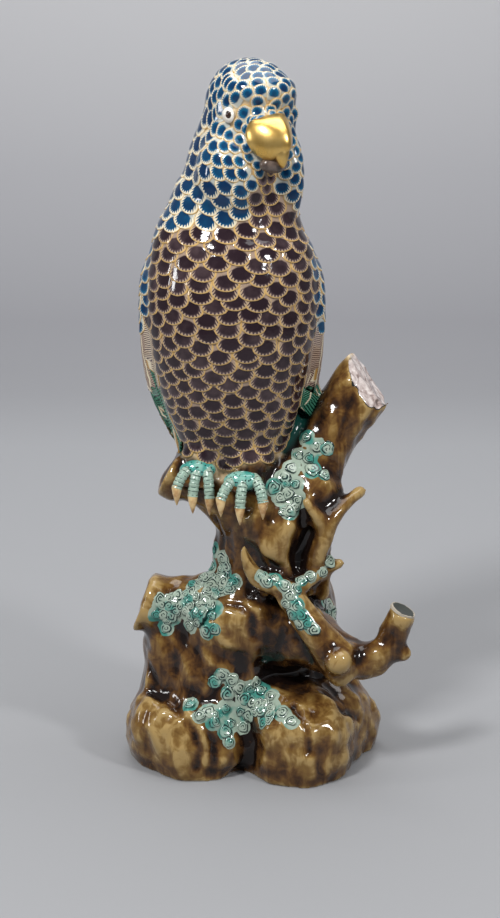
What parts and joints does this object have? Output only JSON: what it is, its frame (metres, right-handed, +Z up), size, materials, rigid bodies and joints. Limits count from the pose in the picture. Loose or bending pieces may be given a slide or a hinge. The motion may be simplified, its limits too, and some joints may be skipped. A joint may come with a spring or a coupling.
{
  "type": "parrot figurine",
  "caption": "Upright glazed porcelain parrot with a turned head, perched on a gnarled tree stump with a lumpy rock base.",
  "frame": {"origin": "on the surface that the figurine stands on, under the middle of its bounding box", "axes": "+Z up along the bird, -Y the way its breast faces, +X the side that its head is turned to"},
  "size_m": [0.1578, 0.1146, 0.3803],
  "materials": {
    "glazed_porcelain": "gloss glaze over painted enamels, with a gilded beak"
  },
  "bodies": {
    "root": {"parrot_figurine": "glazed_porcelain"}
  },
  "joints": []
}
